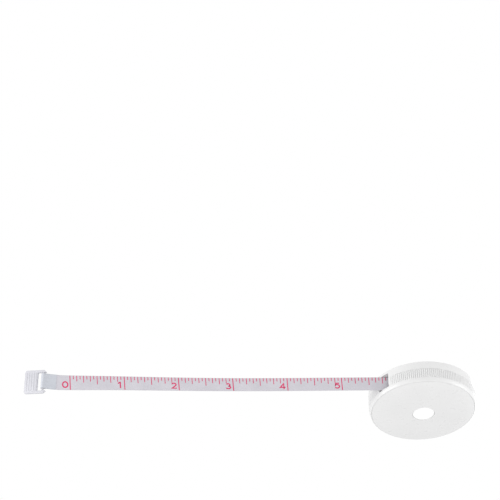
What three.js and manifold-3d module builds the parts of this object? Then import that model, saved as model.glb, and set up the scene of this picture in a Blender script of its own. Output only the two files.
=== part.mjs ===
// A round pocket tape measure with a cloth tape, drawn partly out of its case.
// Millimetres. The case lies on its button side: +Z points out of the domed front cover,
// the origin is the centre of the flat ring round the button, and the tape leaves along -X.
import * as THREE from "three";
import { mergeVertices } from "three/addons/utils/BufferGeometryUtils.js";
import Module from "manifold-3d";

const wasm = await Module();
wasm.setup();

// Case
const caseRadius = 24.95;
const shellWall = 1.2;
const ribDepth = 0.35;
const skirtShare = 0.7;
const ribCount = 164;
const ribInset = 0.25;
const bandShow = 1.2;
const bandStep = 0.1;
const bandEdge = 2.1;
const shelfReach = 0.4;
const shelfThickness = 0.8;
const seamLift = 1.1;
const seamGap = 0.25;
const jointGap = 0.15;

// Front cover
const domeRise = 2.3;
const shoulderRadius = 1.0;
const spigotDepth = 1.3;
const spigotWall = 0.75;

// Rear cover
const landRadius = 12;
const rearRise = 1.8;
const rearWall = 1.0;
const rearEdge = 1.3;
const rearLedge = 1.55;

// Tape: its line lies a little inside the edge of the spool's flanges
const tapeWidth = 7.2;
const tapeThickness = 0.28;
const tapeInset = 2.45;
const runInset = 2.44;
const tapeBow = 1.05;
const tapeDrift = 1.5;
const tapeTwist = THREE.MathUtils.degToRad(18);
const twistPower = 5;
const tapeLean = THREE.MathUtils.degToRad(7);
const leanPower = 60;

// Tape slot in the case: how far it reaches to each side of the tape, under it and over it,
// and the roof inside that keeps the tape's upper edge in line
const slotInner = 1.6;
const slotOuter = 3.4;
const slotFootroom = 0.35;
const slotHeadroom = 0.3;
const slotRoofThickness = 0.8;
const slotRoofGap = 0.5;

// End tab, measured from its bar, and the bar's distance from the case's axis
const tabBar = 178.7;
const barRadius = 0.55;
const tabLip = 1.5;
const tabSlotReach = 2.55;
const tabPlate = 6.65;
const tabArm = 1.3;
const tapeSideGap = 0.7;
const tabShift = 0.4;
const tabTurn = THREE.MathUtils.degToRad(28);
const tabThickness = 1.2;
const tabCorner = 1.1;
const tabChamferShare = 0.8;
const gripRidgeCount = 5;
const gripRidgeRadius = 0.35;
const gripRidgeRise = 0.2;
const gripOuterMargin = 1.1;
const gripInnerMargin = 0.8;
const gripSideMargin = 1.1;

// The tape's end, folded round the bar and back onto itself
const foldTail = 6.1;
const foldGap = 0.15;
const foldTaper = 2.4;

// Spool: with this hub, the coil and the drawn tape come to sixty inches
const hubRadius = 7.5;
const spoolRoom = 1.35;
const spoolLift = 0.3;
const flangeThickness = 0.6;
const flangeGap = 0.3;
const coilGap = 0.3;
const hubWall = 0.8;
const runningGap = 0.25;
const bearingWall = 0.85;
const bearingDepth = 0.65;
const clipRingWall = 0.7;
const springCoverThickness = 0.5;
const mainspringThickness = 0.25;
const mainspringTurns = 5.5;
const mainspringGap = 0.3;
const anchorWidth = 0.9;
const anchorGap = 0.25;
const anchorSkin = 0.12;

// Axle
const axleRadius = 2.0;
const axleLift = 0.75;
const pilotRadius = 1.1;
const pilotLength = 0.9;
const bossRadius = 3.2;
const bossLength = 1.55;
const bossGap = 0.1;
const washerThickness = 0.3;
const washerGap = 0.15;
const retainerInset = 0.3;
const retainerThickness = 0.3;

// Button
const buttonRadius = 4.95;
const buttonGap = 0.25;
const buttonRecess = 0.1;
const buttonFace = 0.9;
const buttonEdge = 0.4;
const buttonFlangeReach = 1.05;
const buttonFlangeThickness = 0.5;
const buttonWell = 3.2;
const buttonSpringRadius = 1.6;
const buttonSpringWire = 0.15;
const buttonSpringTurns = 3.5;

// Brake: the shares run from the button's flange out to the rear cover's ledge
const pivotShare = 0.30864;
const leverEndShare = 0.51235;
const leafSeatShare = 0.77469;
const leverCatch = 0.8;
const leverHeel = 0.05;
const leverTipThickness = 0.6;
const leverThickness = 0.7;
const leverStep = 0.3;
const leverWidth = 3.0;
const leverBarrel = 0.8;
const pinRadius = 0.3;
const pinGap = 0.2;
const earWidth = 1.0;
const earLength = 2.0;
const padLength = 1.5;
const padThickness = 0.4;
const padGap = 0.2;
const leafThickness = 0.15;
const leafWidth = 1.6;
const leafSeat = 0.15;

// Pegs and sockets that hold the two covers together
const pegRadius = 1.2;
const socketWall = 0.75;
const pegGap = 0.25;
const socketDepth = 5.1;
const pegCount = 3;
const firstPeg = THREE.MathUtils.degToRad(15);

// Fineness of the faceted shapes, and how far a cut runs past what it cuts
const fine = 64;
const medium = 40;
const coarse = 16;
const arcSteps = 4;
const runSteps = 44;
const springSteps = 24;
const wireSteps = 8;
const wireSides = 5;
const overrun = 2;
const weld = 0.1;
const sameSpot = 1e-4;

// Radii that follow from those above, from the case's rim inwards
const bandRoot = caseRadius - ribDepth;
const bandBore = bandRoot - shellWall;
const skirtRadius = caseRadius - ribDepth * skirtShare;
const domeEdge = skirtRadius - shoulderRadius;
const rearFaceRadius = caseRadius - bandShow;
const bandLip = rearFaceRadius + seamGap;
const ledgeRadius = rearFaceRadius - rearLedge;
const socketRadius = pegRadius + pegGap + socketWall;
const pegRing = ledgeRadius - socketRadius - seamGap;
const flangeRadius = pegRing - socketRadius - spoolRoom;
const tapeLine = flangeRadius - tapeInset;
const coilRadius = tapeLine - tapeThickness / 2 - coilGap;
const drumBore = hubRadius - hubWall;
const buttonFlangeRadius = buttonRadius + buttonFlangeReach;
const leverPivot = brakePlace(pivotShare);
const leverEnd = brakePlace(leverEndShare);
const leafSeatPlace = brakePlace(leafSeatShare);

// Heights, from the rear cover's wall up
const leverAxis = rearWall + runningGap + leverBarrel;
const earTop = leverAxis + leverBarrel;
const flangeLowFoot = earTop + spoolLift;
const flangeLowTop = flangeLowFoot + flangeThickness;
const tapeHeight = flangeLowTop + flangeGap + tapeWidth / 2;
const flangeHighFoot = tapeHeight + tapeWidth / 2 + flangeGap;
const flangeHighTop = flangeHighFoot + flangeThickness;
const washerFoot = flangeHighTop + washerGap;
const bossFoot = washerFoot + washerThickness + washerGap;
const caseThickness = bossFoot + bossLength + shellWall;
const rearTop = rearRise + rearEdge;
const slotFoot = tapeHeight - tapeWidth / 2 - slotFootroom;
const slotTop = tapeHeight + tapeWidth / 2 + slotHeadroom;
const bandFoot = rearRise + bandStep;
const bandTop = tapeHeight + seamLift;
const ribFoot = bandFoot + bandEdge;
const padFoot = flangeLowFoot - padGap - padThickness;
const leverEndTop = padFoot - weld;
const leverEndFoot = leverEndTop - leverThickness;
const axleFoot = flangeLowFoot + axleLift;
const retainerFoot = axleFoot + retainerInset;
const springCoverFoot = retainerFoot + retainerThickness + runningGap;

// Places along the tape
const slotFrom = Math.asin((tapeLine - slotInner) / caseRadius) - Math.PI;
const slotTo = Math.asin((tapeLine + slotOuter) / caseRadius) - Math.PI;
const innerRunEnd = Math.sqrt(bandBore ** 2 - tapeLine ** 2) - runInset;
const freeRunStart = innerRunEnd + seamGap;
const freeRunEnd = tabBar - foldTail * Math.cos(tapeLean) - seamGap;
const tapeRise = (Math.tan(tapeLean) * (freeRunEnd - freeRunStart)) / leanPower;
const tabSlotWidth = tapeWidth + 2 * tapeSideGap;
const tabWidth = tabSlotWidth + 2 * tabArm;

const plastic = { roughness: 0.3, metalness: 0 };
const white = new THREE.MeshStandardMaterial({ color: 0xe9e9e9, ...plastic });
const brightWhite = new THREE.MeshStandardMaterial({ color: 0xfbfbfb, ...plastic });
const tabPlastic = new THREE.MeshStandardMaterial({ color: 0xdcdbe4, ...plastic });
const cloth = new THREE.MeshStandardMaterial({ color: 0xd6d5dc, roughness: 0.85, metalness: 0 });
const innerPlastic = new THREE.MeshStandardMaterial({ color: 0xc9c9c4, roughness: 0.5, metalness: 0 });
const steel = new THREE.MeshStandardMaterial({ color: 0x9a9da1, roughness: 0.35, metalness: 1 });
const rubber = new THREE.MeshStandardMaterial({ color: 0x2c2c2e, roughness: 0.9, metalness: 0 });

// A shape as a solid that can be joined and cut.
function solid(geometry) {
  const bare = geometry.clone();
  bare.deleteAttribute("normal");
  bare.deleteAttribute("uv");
  const merged = mergeVertices(bare, sameSpot);
  return new wasm.Manifold(
    new wasm.Mesh({
      numProp: 3,
      vertProperties: merged.attributes.position.array,
      triVerts: new Uint32Array(merged.index.array),
    }),
  );
}

// A joined or cut solid as a shape again.
function geometryOf(made) {
  const mesh = made.getMesh();
  const geometry = new THREE.BufferGeometry();
  geometry.setAttribute("position", new THREE.BufferAttribute(mesh.vertProperties, 3));
  geometry.setIndex(new THREE.BufferAttribute(mesh.triVerts, 1));
  geometry.computeVertexNormals();
  return geometry;
}

function join(...geometries) {
  return geometryOf(geometries.map(solid).reduce((all, next) => all.add(next)));
}

function cut(geometry, ...tools) {
  return geometryOf(tools.map(solid).reduce((left, tool) => left.subtract(tool), solid(geometry)));
}

// A body of revolution about Z from [radius, height] points that run round its section.
function turned(points, sides) {
  const profile = [...points, points[0]].map(([radius, height]) => new THREE.Vector2(radius, height));
  return new THREE.LatheGeometry(profile, sides).rotateX(Math.PI / 2);
}

// A round plate or tube about Z, between two radii and two heights.
function ring(inner, outer, foot, top, sides) {
  return turned(
    [
      [inner, foot],
      [outer, foot],
      [outer, top],
      [inner, top],
    ],
    sides,
  );
}

// A solid round bar about Z.
function rod(radius, foot, top, sides) {
  return new THREE.CylinderGeometry(radius, radius, top - foot, sides)
    .rotateX(Math.PI / 2)
    .translate(0, 0, (foot + top) / 2);
}

// A flat outline in X and Y, raised from a foot to a top.
function raised(shape, foot, top, curveSegments = coarse) {
  return new THREE.ExtrudeGeometry(shape, {
    depth: top - foot,
    bevelEnabled: false,
    curveSegments,
  }).translate(0, 0, foot);
}

// A side outline in X and Z, carried across Y and centred on it.
function across(points, width) {
  const shape = new THREE.Shape(points.map(([x, z]) => new THREE.Vector2(x, z)));
  return new THREE.ExtrudeGeometry(shape, { depth: width, bevelEnabled: false })
    .translate(0, 0, -width / 2)
    .rotateX(Math.PI / 2);
}

// A closed skin over rings of points: the sides between each two rings, and a fan over each end.
function lofted(rings) {
  const count = rings[0].length;
  const faces = [];
  for (let i = 0; i + 1 < rings.length; i++) {
    for (let j = 0; j < count; j++) {
      const a = i * count + j;
      const b = i * count + ((j + 1) % count);
      faces.push(a, b, b + count, a, b + count, a + count);
    }
  }
  const last = (rings.length - 1) * count;
  for (let j = 1; j + 1 < count; j++) {
    faces.push(0, j + 1, j);
    faces.push(last, last + j, last + j + 1);
  }
  const geometry = new THREE.BufferGeometry().setFromPoints(rings.flat());
  geometry.setIndex(faces);
  geometry.computeVertexNormals();
  return geometry;
}

// How far an arc that starts level at one radius has risen at another.
function archRise(radius, start, end, rise) {
  const reach = end - start;
  const bend = (reach ** 2 + rise ** 2) / (2 * rise);
  const run = Math.max(radius - start, 0);
  return bend - Math.sqrt(bend ** 2 - run ** 2);
}

function spread(from, to, steps) {
  return Array.from({ length: steps + 1 }, (_, i) => from + ((to - from) * i) / steps);
}

function brakePlace(share) {
  return buttonFlangeRadius + share * (ledgeRadius - buttonFlangeRadius);
}

function rearSurface(radius) {
  return archRise(radius, landRadius, rearFaceRadius, rearRise);
}

function domeSurface(radius) {
  return caseThickness - archRise(radius, 0, domeEdge, domeRise);
}

// A wedge as wide as the tape's slot, between two radii and two heights.
function slotWedge(inner, outer, foot, top) {
  const shape = new THREE.Shape();
  shape.absarc(0, 0, inner, slotFrom, slotTo, false);
  shape.absarc(0, 0, outer, slotTo, slotFrom, true);
  shape.closePath();
  return raised(shape, foot, top, arcSteps);
}

function pegPlaces() {
  return Array.from({ length: pegCount }, (_, i) => {
    const angle = firstPeg + (i * 2 * Math.PI) / pegCount;
    return [pegRing * Math.cos(angle), pegRing * Math.sin(angle)];
  });
}

function frontCover() {
  const foot = bandTop + jointGap;
  const shoulder = caseThickness - domeRise - shoulderRadius;
  const dome = spread(0, domeEdge, arcSteps * 2).map((r) => [r, domeSurface(r)]);
  const turn = spread(0, Math.PI / 2, arcSteps).map((angle) => [
    domeEdge + shoulderRadius * Math.sin(angle),
    shoulder + shoulderRadius * Math.cos(angle),
  ]);
  const ceiling = spread(0, domeEdge - shellWall, arcSteps).map((r) => [r, domeSurface(r) - shellWall]);
  const spigot = bandBore - seamGap;
  const shell = turned(
    [
      ...ceiling,
      [skirtRadius - shellWall, shoulder - shellWall / 2],
      [skirtRadius - shellWall, foot + shellWall],
      [spigot - spigotWall, foot + shellWall / 2],
      [spigot - spigotWall, foot - spigotDepth],
      [spigot, foot - spigotDepth],
      [spigot, foot],
      [skirtRadius, foot],
      ...turn.toReversed(),
      ...dome.toReversed().slice(1),
    ],
    fine,
  );
  const bossTop = domeSurface(bossRadius) - shellWall + weld;
  const boss = ring(axleRadius + bossGap, bossRadius, bossFoot, bossTop, medium);
  const pegFoot = rearSurface(pegRing) + rearWall + pegRadius;
  const pegs = pegPlaces().map(([x, y]) =>
    rod(pegRadius, pegFoot, domeSurface(pegRing) - shellWall + weld, coarse).translate(x, y, 0),
  );
  const roofFoot = slotTop + weld;
  const roof = slotWedge(
    flangeRadius + slotRoofGap,
    skirtRadius - shellWall / 2,
    roofFoot,
    roofFoot + slotRoofThickness,
  );
  const slot = slotWedge(
    bandBore - overrun,
    caseRadius + overrun,
    foot - spigotDepth - overrun,
    slotTop,
  );
  return cut(join(shell, boss, roof, ...pegs), slot);
}

// The band holds the rear cover from above with a shelf on its inside.
function caseBand() {
  const rim = spread(0, Math.PI / 2, arcSteps).map((angle) => [
    bandLip + (caseRadius - weld - bandLip) * Math.sin(angle),
    bandFoot + bandEdge * (1 - Math.cos(angle)),
  ]);
  const shelf = rearTop + jointGap;
  const body = turned(
    [
      ...rim,
      [bandRoot, ribFoot + weld],
      [bandRoot, bandTop],
      [bandBore, bandTop],
      [bandBore, shelf + shelfThickness],
      [bandBore - shelfReach, shelf + shelfThickness],
      [bandBore - shelfReach, shelf],
      [bandLip, shelf],
    ],
    fine,
  );
  const teeth = new THREE.Shape(
    Array.from({ length: ribCount * 2 }, (_, i) => {
      const angle = (i * Math.PI) / ribCount;
      const radius = i % 2 ? bandRoot - weld : caseRadius;
      return new THREE.Vector2(radius * Math.cos(angle), radius * Math.sin(angle));
    }),
  );
  const hollow = new THREE.Path();
  hollow.absarc(0, 0, (bandRoot + bandBore) / 2, 0, Math.PI * 2, true);
  teeth.holes.push(hollow);
  const ribs = raised(teeth, ribFoot, bandTop - ribInset, medium);
  const slot = slotWedge(bandBore - overrun, caseRadius + overrun, slotFoot, bandTop + overrun);
  return cut(join(body, ribs), slot);
}

function rearCover() {
  const hole = buttonRadius + buttonGap;
  const outside = spread(landRadius, rearFaceRadius, arcSteps + 2).map((r) => [r, rearSurface(r)]);
  const inside = spread(landRadius, ledgeRadius, arcSteps).map((r) => [r, rearSurface(r) + rearWall]);
  const shell = turned(
    [
      [hole, 0],
      ...outside,
      [rearFaceRadius, rearTop],
      [ledgeRadius, rearTop],
      ...inside.toReversed(),
      [hole, rearWall],
    ],
    fine,
  );
  const socketFoot = rearSurface(pegRing) + rearWall / 2;
  const sockets = pegPlaces().map(([x, y]) =>
    ring(pegRadius + pegGap, socketRadius, socketFoot, socketFoot + socketDepth, coarse).translate(x, y, 0),
  );
  const earPlace = (leverWidth + earWidth) / 2 + runningGap;
  const ears = [-1, 1].map((side) =>
    new THREE.BoxGeometry(earLength, earWidth, earTop - rearWall + weld).translate(
      leverPivot,
      side * earPlace,
      (earTop + rearWall - weld) / 2,
    ),
  );
  const bore = new THREE.CylinderGeometry(
    pinRadius + jointGap,
    pinRadius + jointGap,
    leverWidth + 2 * earWidth + overrun,
    coarse,
  ).translate(leverPivot, 0, leverAxis);
  return cut(join(shell, ...sockets, ...ears), bore);
}

function pushButton() {
  const foot = buttonRecess;
  const flangeFoot = rearWall + buttonGap;
  const edge = spread(0, Math.PI / 2, arcSteps).map((angle) => [
    buttonRadius - buttonEdge + buttonEdge * Math.sin(angle),
    foot + buttonEdge * (1 - Math.cos(angle)),
  ]);
  return turned(
    [
      [0, foot],
      ...edge,
      [buttonRadius, flangeFoot],
      [buttonFlangeRadius, flangeFoot],
      [buttonFlangeRadius, flangeFoot + buttonFlangeThickness],
      [buttonWell, flangeFoot + buttonFlangeThickness],
      [buttonWell, foot + buttonFace],
      [0, foot + buttonFace],
    ],
    medium,
  );
}

// A round wire wound about Z, its ends between two heights.
function coilSpring(radius, wire, turns, foot, top) {
  return lofted(
    spread(0, 1, Math.round(turns * wireSteps)).map((share) => {
      const angle = share * turns * 2 * Math.PI;
      const height = foot + wire + share * (top - foot - 2 * wire);
      return Array.from({ length: wireSides }, (_, j) => {
        const round = (j * 2 * Math.PI) / wireSides;
        const reach = radius - wire * Math.cos(round);
        const rise = wire * Math.sin(round);
        return new THREE.Vector3(reach * Math.cos(angle), reach * Math.sin(angle), height + rise);
      });
    }),
  );
}

function buttonSpring() {
  const foot = buttonRecess + buttonFace + jointGap;
  return coilSpring(buttonSpringRadius, buttonSpringWire, buttonSpringTurns, foot, axleFoot - jointGap);
}

// A flat strip wound in a spiral about Z, between two radii.
function mainspring() {
  const inner = axleRadius + mainspringGap + mainspringThickness / 2;
  const outer = drumBore - mainspringGap - mainspringThickness / 2;
  const foot = springCoverFoot + springCoverThickness + mainspringGap;
  const top = flangeHighFoot - bearingDepth - mainspringGap;
  return lofted(
    spread(0, 1, Math.round(mainspringTurns * springSteps)).map((share) => {
      const angle = share * mainspringTurns * 2 * Math.PI;
      const middle = inner + share * (outer - inner);
      const half = mainspringThickness / 2;
      return [
        [middle + half, foot],
        [middle - half, foot],
        [middle - half, top],
        [middle + half, top],
      ].map(([r, z]) => new THREE.Vector3(r * Math.cos(angle), r * Math.sin(angle), z));
    }),
  );
}

function spoolDrum() {
  const drum = turned(
    [
      [drumBore, flangeLowFoot],
      [flangeRadius, flangeLowFoot],
      [flangeRadius, flangeLowTop],
      [hubRadius, flangeLowTop],
      [hubRadius, flangeHighFoot - runningGap],
      [drumBore, flangeHighFoot - runningGap],
    ],
    medium,
  );
  const notchWidth = anchorWidth + 2 * anchorGap;
  const notch = new THREE.BoxGeometry(notchWidth, hubWall + overrun, tapeWidth).translate(
    0,
    drumBore + hubWall / 2,
    tapeHeight + anchorGap,
  );
  return cut(drum, notch);
}

function spoolFlange() {
  const bore = axleRadius + runningGap;
  const clip = drumBore - jointGap;
  const foot = flangeHighFoot - bearingDepth;
  return turned(
    [
      [bore, foot],
      [bore + bearingWall, foot],
      [bore + bearingWall, flangeHighFoot],
      [clip - clipRingWall, flangeHighFoot],
      [clip - clipRingWall, foot],
      [clip, foot],
      [clip, flangeHighFoot],
      [flangeRadius, flangeHighFoot],
      [flangeRadius, flangeHighTop],
      [bore, flangeHighTop],
    ],
    medium,
  );
}

function springCover() {
  const top = springCoverFoot + springCoverThickness;
  return ring(axleRadius + runningGap, drumBore - jointGap, springCoverFoot, top, medium);
}

function tapeAnchor() {
  const depth = hubWall - 2 * anchorSkin;
  return new THREE.BoxGeometry(anchorWidth, depth, tapeWidth - 4 * anchorGap).translate(
    0,
    drumBore + hubWall / 2,
    tapeHeight + anchorGap,
  );
}

// The wound tape: each point of its edge lies one thickness further in after a turn, and
// the step between the two ends is where the tape leaves it.
function tapeCoil() {
  const start = -Math.PI / 2;
  const shape = new THREE.Shape(
    spread(0, 1, fine).map((share) => {
      const radius = coilRadius - tapeThickness * share;
      const angle = start + share * 2 * Math.PI;
      return new THREE.Vector2(radius * Math.cos(angle), radius * Math.sin(angle));
    }),
  );
  const bore = new THREE.Path();
  bore.absarc(0, 0, hubRadius + jointGap, 0, 2 * Math.PI, true);
  shape.holes.push(bore);
  return raised(shape, tapeHeight - tapeWidth / 2, tapeHeight + tapeWidth / 2, coarse);
}

function tapeInnerRun() {
  return new THREE.BoxGeometry(innerRunEnd, tapeThickness, tapeWidth).translate(
    -innerRunEnd / 2,
    -tapeLine,
    tapeHeight,
  );
}

// The drawn tape's middle at a share of its length, and there the directions along it, across
// its width and square to its face. It bows away from a straight line and drifts, and near its
// end it turns its face and leans upwards.
function tapeCourse(share) {
  const lean = Math.atan(Math.tan(tapeLean) * share ** (leanPower - 1));
  const twist = tapeTwist * share ** twistPower;
  const bow = tapeBow * Math.sin(Math.PI * share) ** 2;
  const drift = tapeDrift * share ** 2 * (3 - 2 * share);
  const middle = new THREE.Vector3(
    -freeRunStart - share * (freeRunEnd - freeRunStart),
    bow - drift - tapeLine,
    tapeHeight + tapeRise * share ** leanPower,
  );
  const along = new THREE.Vector3(-Math.cos(lean), 0, Math.sin(lean));
  const over = new THREE.Vector3(Math.sin(lean), 0, Math.cos(lean)).applyAxisAngle(along, -twist);
  return { middle, along, over, square: new THREE.Vector3().crossVectors(along, over) };
}

function tapeFreeRun() {
  const corners = [
    [-1, 1],
    [1, 1],
    [1, -1],
    [-1, -1],
  ];
  return lofted(
    spread(0, 1, runSteps).map((share) => {
      const { middle, over, square } = tapeCourse(share);
      return corners.map(([side, edge]) =>
        middle
          .clone()
          .addScaledVector(square, (side * tapeThickness) / 2)
          .addScaledVector(over, (edge * tapeWidth) / 2),
      );
    }),
  );
}

// The pieces at the tape's end are drawn about the tab's bar: X runs out along the tape,
// Y across its width.
function endTab() {
  const outer = tabSlotReach + tabPlate;
  const half = tabWidth / 2;
  const slot = tabSlotWidth / 2;
  const chamfer = tabArm * tabChamferShare;
  const shape = new THREE.Shape();
  shape.moveTo(-tabLip, slot);
  shape.lineTo(-tabLip, half - chamfer);
  shape.lineTo(chamfer - tabLip, half);
  shape.lineTo(outer - tabCorner, half);
  shape.absarc(outer - tabCorner, half - tabCorner, tabCorner, Math.PI / 2, 0, true);
  shape.absarc(outer - tabCorner, tabCorner - half, tabCorner, 0, -Math.PI / 2, true);
  shape.lineTo(chamfer - tabLip, -half);
  shape.lineTo(-tabLip, chamfer - half);
  shape.lineTo(-tabLip, -slot);
  shape.lineTo(tabSlotReach, -slot);
  shape.lineTo(tabSlotReach, slot);
  shape.closePath();
  const plate = raised(shape, -tabThickness / 2, tabThickness / 2, arcSteps);
  const bar = new THREE.CylinderGeometry(barRadius, barRadius, tabWidth - tabArm, coarse);
  const ridgeLength = tabWidth - 2 * gripSideMargin;
  const ridge = new THREE.CylinderGeometry(gripRidgeRadius, gripRidgeRadius, ridgeLength, coarse / 2);
  const ridgeHeight = tabThickness / 2 + gripRidgeRise - gripRidgeRadius;
  const first = tabSlotReach + gripInnerMargin;
  const ridges = spread(first, outer - gripOuterMargin, gripRidgeCount - 1).flatMap((place) =>
    [-1, 1].map((side) => ridge.clone().translate(place, 0, side * ridgeHeight)),
  );
  return join(plate, bar, ...ridges);
}

function tapeEndLoop() {
  const bore = barRadius + foldGap;
  const outer = bore + tapeThickness;
  const open = Math.PI / 3;
  const shape = new THREE.Shape();
  shape.moveTo(-foldTail, -tapeThickness);
  shape.lineTo(-foldTaper, -tapeThickness);
  shape.absarc(0, 0, outer, -Math.PI + open, Math.PI - open, false);
  shape.lineTo(-foldTaper, tapeThickness);
  shape.lineTo(-foldTail, tapeThickness);
  shape.closePath();
  const hole = new THREE.Path();
  hole.absarc(0, 0, bore, 0, 2 * Math.PI, true);
  shape.holes.push(hole);
  return raised(shape, -tapeWidth / 2, tapeWidth / 2, coarse / 2).rotateX(Math.PI / 2);
}

function spoolAxle() {
  const top = domeSurface(0) - shellWall - jointGap;
  return turned(
    [
      [0, axleFoot - pilotLength],
      [pilotRadius, axleFoot - pilotLength],
      [pilotRadius, axleFoot],
      [axleRadius, axleFoot],
      [axleRadius, top],
      [0, top],
    ],
    medium,
  );
}

function axleWasher() {
  return ring(axleRadius + bossGap, bossRadius, washerFoot, washerFoot + washerThickness, medium);
}

function axleRetainer() {
  return ring(axleRadius + bossGap, bossRadius, retainerFoot, retainerFoot + retainerThickness, medium);
}

function brakeLever() {
  const tip = buttonFlangeRadius - leverCatch;
  const tipFoot = rearWall + buttonGap + buttonFlangeThickness + runningGap;
  const tipTop = tipFoot + leverTipThickness;
  const inner = buttonFlangeRadius + runningGap;
  const heel = inner + leverHeel;
  const top = leverEndTop - leverStep;
  const foot = top - leverThickness;
  const beam = across(
    [
      [tip, tipFoot],
      [inner, tipFoot],
      [inner, foot],
      [leverPivot, foot],
      [leverPivot + leverBarrel, leverEndFoot],
      [leverEnd, leverEndFoot],
      [leverEnd, leverEndTop],
      [leverPivot + leverBarrel, leverEndTop],
      [leverPivot, top],
      [heel + tipTop - top, top],
      [heel, tipTop],
      [tip, tipTop],
    ],
    leverWidth,
  );
  const barrel = new THREE.CylinderGeometry(leverBarrel, leverBarrel, leverWidth, coarse);
  const bore = pinRadius + pinGap;
  const hole = new THREE.CylinderGeometry(bore, bore, leverWidth + overrun, coarse);
  return cut(
    join(beam, barrel.translate(leverPivot, 0, leverAxis)),
    hole.translate(leverPivot, 0, leverAxis),
  );
}

function leverPin() {
  const length = leverWidth + 2 * (runningGap + earWidth);
  const pin = new THREE.CylinderGeometry(pinRadius, pinRadius, length, coarse);
  return pin.translate(leverPivot, 0, leverAxis);
}

function brakePad() {
  return new THREE.BoxGeometry(padLength, leverWidth, padThickness).translate(
    leverEnd - padLength / 2,
    0,
    padFoot + padThickness / 2,
  );
}

// A flat leaf whose fixed end lies on the rear cover and whose free end bears on the lever.
function leverSpring() {
  const from = leverEnd - padLength / 2;
  const seat = leafSeatPlace;
  const bend = (from + seat) / 2;
  const freeTop = leverEndFoot - leafSeat;
  const seatFoot = rearSurface(seat) + rearWall + leafSeat;
  const bendFoot = rearSurface(bend) + rearWall + leafSeat;
  return across(
    [
      [from, freeTop - leafThickness],
      [bend, bendFoot],
      [seat, seatFoot],
      [seat, seatFoot + leafThickness],
      [bend, bendFoot + leafThickness],
      [from, freeTop],
    ],
    leafWidth,
  );
}

function mesh(name, geometry, material) {
  const made = new THREE.Mesh(geometry, material);
  made.name = name;
  return made;
}

function group(...members) {
  const made = new THREE.Group();
  made.add(...members);
  return made;
}

const caseGroup = group(
  mesh("front_cover", frontCover(), white),
  mesh("case_band", caseBand(), white),
  mesh("rear_cover", rearCover(), white),
  mesh("spool_axle", spoolAxle(), steel),
  mesh("axle_washer", axleWasher(), steel),
  mesh("axle_retainer", axleRetainer(), steel),
  mesh("lever_pin", leverPin(), steel),
  mesh("lever_spring", leverSpring(), steel),
  mesh("button_spring", buttonSpring(), steel),
  mesh("tape_inner_run", tapeInnerRun(), cloth),
  mesh("tape_free_run", tapeFreeRun(), cloth),
);

const spoolGroup = group(
  mesh("spool_drum", spoolDrum(), innerPlastic),
  mesh("spool_flange", spoolFlange(), innerPlastic),
  mesh("spring_cover", springCover(), innerPlastic),
  mesh("mainspring", mainspring(), steel),
  mesh("tape_anchor", tapeAnchor(), innerPlastic),
  mesh("tape_coil", tapeCoil(), cloth),
);

const buttonGroup = group(mesh("push_button", pushButton(), brightWhite));

const brakeGroup = group(
  mesh("brake_lever", brakeLever(), innerPlastic),
  mesh("brake_pad", brakePad(), rubber),
);

const tab = mesh("end_tab", endTab(), tabPlastic);
tab.rotation.y = -tabTurn;
tab.position.y = -tabShift;
const tapeEndGroup = group(mesh("tape_end_loop", tapeEndLoop(), cloth), tab);
const end = tapeCourse(1);
tapeEndGroup.quaternion.setFromRotationMatrix(
  new THREE.Matrix4().makeBasis(end.along, end.over, end.square),
);
tapeEndGroup.position.copy(end.middle).addScaledVector(end.along, foldTail + seamGap / Math.cos(tapeLean));

export default group(caseGroup, spoolGroup, buttonGroup, brakeGroup, tapeEndGroup);
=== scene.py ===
import math

import bmesh
import bpy
import numpy as np
from mathutils import Matrix, Vector


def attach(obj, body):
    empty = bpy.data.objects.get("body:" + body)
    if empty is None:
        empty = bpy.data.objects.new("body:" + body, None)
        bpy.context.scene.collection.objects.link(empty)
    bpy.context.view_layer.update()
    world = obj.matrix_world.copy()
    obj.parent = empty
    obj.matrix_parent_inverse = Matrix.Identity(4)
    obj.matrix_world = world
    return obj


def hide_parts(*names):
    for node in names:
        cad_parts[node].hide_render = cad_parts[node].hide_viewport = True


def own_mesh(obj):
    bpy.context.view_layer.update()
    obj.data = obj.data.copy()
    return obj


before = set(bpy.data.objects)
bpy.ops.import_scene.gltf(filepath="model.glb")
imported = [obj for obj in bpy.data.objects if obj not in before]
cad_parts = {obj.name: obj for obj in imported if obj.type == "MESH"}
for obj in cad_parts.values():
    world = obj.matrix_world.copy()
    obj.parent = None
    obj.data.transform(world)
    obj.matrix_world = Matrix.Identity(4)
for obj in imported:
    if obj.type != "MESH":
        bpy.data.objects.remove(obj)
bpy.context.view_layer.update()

# A round pocket tape measure with a cloth tape, drawn partly out of its case.
# Sizes are in millimetres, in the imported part's frame: Z along the case's axis, the tape along -X.
# Turns about Z are in degrees from +X. The camera's distance, the lights and the floor are in
# metres. Skins of one piece that would share a face are set apart by a hair.
MM = 0.001

# Case
case_radius = 24.95
band_root = 24.6
band_bore = 23.4
skirt_radius = 24.705
shell_wall = 1.2
rib_count, rib_steps, rib_power = 164, 7.64, 4
rib_foot, rib_top, rib_end = 4.0, 8.7, 0.3
band_foot, band_top = 1.9, 8.75
band_lip, band_lip_edge = 24.0, 0.15
band_rim_radius, rim_blend = 24.85, 0.2
shelf_foot, shelf_top, shelf_radius = 3.25, 4.05, 23.0
slot_foot, slot_top = 3.92, 11.35
slot_from, slot_to = -150.86, -136.58
slot_border, slot_blend, slot_edge = 1.3, 0.5, 0.45
roof_foot, roof_top, roof_inner = slot_top, 12.45, 16.7
hair = 0.002

# Front cover
case_top = 15.5
dome_rise = 2.3
dome_edge = 23.705
shoulder_radius = 1.0
shoulder_height = 12.2
cover_foot, cover_edge = 8.79, 0.1
spigot_radius, spigot_wall, spigot_depth = 23.15, 0.75, 1.3

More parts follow.
